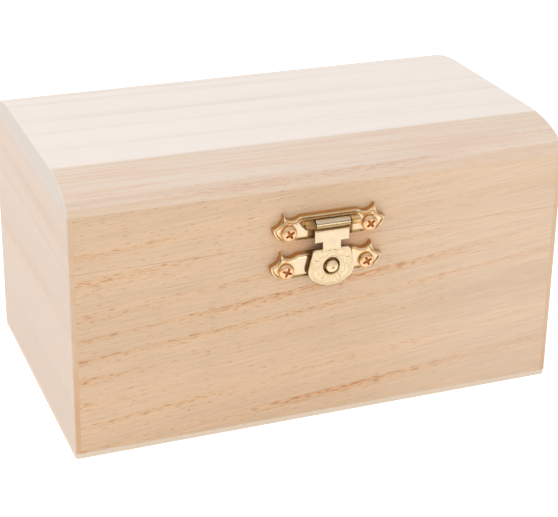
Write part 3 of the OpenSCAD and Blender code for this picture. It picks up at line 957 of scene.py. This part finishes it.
class MONEYBOX_OT_stud(bpy.types.Operator):
    """Riveted stud of the keeper, with a dimple in its head"""

    bl_idname = "moneybox.stud"
    bl_label = "Stud"

    def execute(self, context):
        metal = context.scene.money_box_metal
        front, seam = front_and_seam()
        low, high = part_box("keeper_stud")
        radius, top = (high.x - low.x) / MM / 2, (front - low.y) / MM
        head = top - 1.1
        rise = np.radians(np.arange(0, 76, 7))
        dome = np.stack([radius * np.cos(rise), head + 0.25 + 0.85 * np.sin(rise)], 1)
        floor = top - 0.24
        dimple = [(0.5, top - 0.04), (0.38, top - 0.15), (0.25, top - 0.21), (0.12, floor), (0.0, floor)]
        sheet = metal.sheet / MM
        foot = [(0, 0), (1.1, 0), (1.1, sheet), (radius, sheet + 0.02), (radius, sheet + 0.4)]
        neck = [(1.2, sheet + 0.45), (1.2, head - 0.1), (radius - 0.12, head), (radius - 0.02, head + 0.1)]
        profile = np.vstack([foot, neck, dome, dimple])
        corners, faces = turned(profile)
        corners[:, 1] += ((low.z + high.z) / 2 - seam) / MM
        # Painted shade: the dimple is drawn a little darker, and the neck under the head dark
        dimple_shade = 0.3 * (1 - smoothstep(0.3, 0.5, np.hypot(corners[:, 0], corners[:, 1] - corners[:, 1].mean())))
        hollow_and_shade = np.where(corners[:, 2] > top - 0.4, dimple_shade, np.where(corners[:, 2] < head, 0.6, 0.0))
        gold = polished_plating("polished_gold_plating_stud", metal.stud, 0.5)
        place = front_frame(low, high)
        finished("keeper_stud", gold, [(corners, faces, hollow_and_shade)], place, 50)
        return {"FINISHED"}


def pan_screw(x, y, z, head, height, shank, reach, turn):
    """Pan-head screw with a cross recess, as shells in a local frame: its head stands on z = z.
    The dome is z + height (1 - (r / R)^2.6)^0.4, less the recess, a cross of two tapered bars."""
    a = math.radians(turn)

    def recess(px, py):
        u = np.abs((px - x) * math.cos(a) + (py - y) * math.sin(a))
        v = np.abs((py - y) * math.cos(a) - (px - x) * math.sin(a))
        arm = head * 0.6
        bars = [(1 - smoothstep(0.8, 1.25, across / (head * (0.155 - 0.05 * along / arm))))
                * (1 - smoothstep(arm * 0.86, arm * 1.05, along)) for along, across in ((u, v), (v, u))]
        return np.maximum(*bars)

    def surface(px, py, d):
        wall = np.sqrt(np.clip(1 - (1 - np.clip(d / head, 0, 1)) ** 2.6, 0, 1)) ** 0.8
        return z + 0.02 + (height - 0.02) * wall - 0.42 * height * recess(px, py)

    rim = arc((x, y), head, 0, -360, 48)[:-1]
    corners, faces, d = stamped_sheet(rim, [], head * 0.065, surface, z)
    point = [(0, -reach), (shank * 0.15, -reach), (shank, -reach + 2 * shank)]
    rod, rod_faces = turned(point + [(shank, z), (0, z)], 20)
    # Painted shade: the recess of each head is coloured as a hollow, darker than the head
    return [(corners, faces, recess(corners[:, 0], corners[:, 1])), (rod + [x, y, 0], rod_faces, 0.0)]


class MONEYBOX_OT_screws(bpy.types.Operator):
    """Pan-head screws with cross recesses, on the hasp and on the hinges"""

    bl_idname = "moneybox.screws"
    bl_label = "Screws"

    def execute(self, context):
        metal = context.scene.money_box_metal
        front, seam = front_and_seam()
        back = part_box("box_back_panel")[1].y
        # The cross recess takes the colour of its painted shade
        copper = polished_plating("copper_toned_plating", metal.copper, 0.42,
                                  warm=metal.cross, dull=metal.cross, lacquer=0.0)
        brass = polished_plating("plated_screws", metal.hinge, 0.2)
        head, height = HEAD_RADIUS, 1.2
        for node, turns in (("hasp_screws", (30, 38)), ("keeper_screws", (-22, 24))):
            low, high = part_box(node)
            sheet = (front - low.y) / MM - height
            x, y = (high.x - low.x) / MM / 2 - head, ((low.z + high.z) / 2 - seam) / MM
            shells = []
            for side, turn in zip((-1, 1), turns):
                shells += pan_screw(side * x, y, sheet, head, height, 0.9, (high.y - front) / MM, turn)
            finished(node, copper, shells, front_frame(low, high))
        leaves = [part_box(side + "_hinge_box_leaf") for side in ("left", "right")]
        for node in ("hinge_box_screws", "hinge_lid_screws"):
            low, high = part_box(node)
            head = (high.z - low.z) / MM / 2
            sheet = (high.y - back) / MM - 0.6
            y = ((low.z + high.z) / 2 - seam) / MM
            shells, turn = [], 12
            for leaf in leaves:
                for side in (-1, 1):
                    # Seen from behind, x runs the other way
                    x = -(leaf[0].x + leaf[1].x) / 2 / MM + side * 6.0
                    shells += pan_screw(x, y, sheet, head, 0.6, 0.7, (back - low.y) / MM, turn)
                    turn += 37
            finished(node, brass, shells,
                     lambda c: local_to_row(c, 0.0, -back, seam) * [-1, -1, 1])
        return {"FINISHED"}


class MONEYBOX_OT_hinges(bpy.types.Operator):
    """Hinge leaves and pins, with eased edges and plating"""

    bl_idname = "moneybox.hinges"
    bl_label = "Hinges"

    def execute(self, context):
        metal = context.scene.money_box_metal
        leaf = polished_plating("polished_plating_hinges", metal.hinge, 0.2)
        wire = polished_plating("plated_wire", metal.hinge, 0.2)
        for row in frame["record"]["subparts"]:
            node, slot = row["node"], row["material_slot"]
            if slot in ("hinge_brass", "pin_steel") and not node.endswith("screws"):
                made = eased_copy(node, 0.1 * MM, segments=2)
                made.data.materials.append(wire if slot == "pin_steel" else leaf)
        return {"FINISHED"}


class MONEYBOX_PT_panel(bpy.types.Panel):
    """Sidebar panel that lists the pieces"""

    bl_idname = "MONEYBOX_PT_panel"
    bl_label = "Wooden Money Box"
    bl_space_type = "VIEW_3D"
    bl_region_type = "UI"
    bl_category = "Money Box"

    def draw(self, context):
        scene = context.scene
        for group in (scene.money_box_wood, scene.money_box_metal, scene.money_box_stage):
            column = self.layout.column()
            for name in group.__annotations__:
                column.prop(group, name)
        for operator in OPERATORS:
            self.layout.operator(operator.bl_idname)


OPERATORS = (
    MONEYBOX_OT_stage,
    MONEYBOX_OT_boards,
    MONEYBOX_OT_plates,
    MONEYBOX_OT_tongue,
    MONEYBOX_OT_stud,
    MONEYBOX_OT_screws,
    MONEYBOX_OT_hinges,
)
CLASSES = (MoneyBoxWood, MoneyBoxMetal, MoneyBoxStage, *OPERATORS, MONEYBOX_PT_panel)


def register():
    for cls in CLASSES:
        bpy.utils.register_class(cls)
    bpy.types.Scene.money_box_wood = PointerProperty(type=MoneyBoxWood)
    bpy.types.Scene.money_box_metal = PointerProperty(type=MoneyBoxMetal)
    bpy.types.Scene.money_box_stage = PointerProperty(type=MoneyBoxStage)


def unregister():
    del bpy.types.Scene.money_box_stage
    del bpy.types.Scene.money_box_metal
    del bpy.types.Scene.money_box_wood
    for cls in reversed(CLASSES):
        bpy.utils.unregister_class(cls)


def main():
    register()
    bpy.ops.moneybox.stage()
    bpy.ops.moneybox.boards()
    bpy.ops.moneybox.plates()
    bpy.ops.moneybox.tongue()
    bpy.ops.moneybox.stud()
    bpy.ops.moneybox.screws()
    bpy.ops.moneybox.hinges()


if __name__ == "__main__":
    main()
